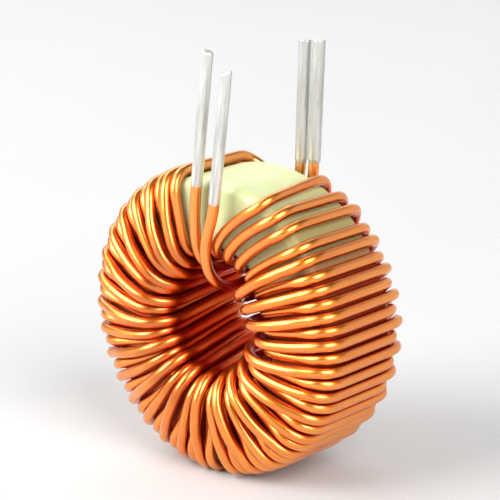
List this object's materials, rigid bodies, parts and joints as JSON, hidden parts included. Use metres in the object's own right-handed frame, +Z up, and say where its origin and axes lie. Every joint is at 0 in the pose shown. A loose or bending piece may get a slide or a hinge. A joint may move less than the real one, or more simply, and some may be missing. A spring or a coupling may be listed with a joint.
{
  "type": "toroidal inductor",
  "caption": "Ring core wound with two strands of enamelled copper wire, with four tinned leads on one side.",
  "frame": {"origin": "centre of the ring, which is also the part's centroid to within half a millimetre", "axes": "Y along the ring's axis with the two front leads on the -Y face, +Z up the leads, +X to the right seen from the front"},
  "size_m": [0.0366, 0.0176, 0.0503],
  "materials": {
    "core_coating": "pale yellow-green epoxy powder coat, slightly glossy",
    "enamelled_copper": "copper under clear amber enamel, glossy",
    "solder": "dipped solder, bright and slightly wavy"
  },
  "bodies": {
    "root": {"ring_core": "core_coating", "strand_one": "enamelled_copper", "strand_two": "enamelled_copper", "tinned_end_front_1": "solder", "tinned_end_front_2": "solder", "tinned_end_back_1": "solder", "tinned_end_back_2": "solder"}
  },
  "joints": []
}
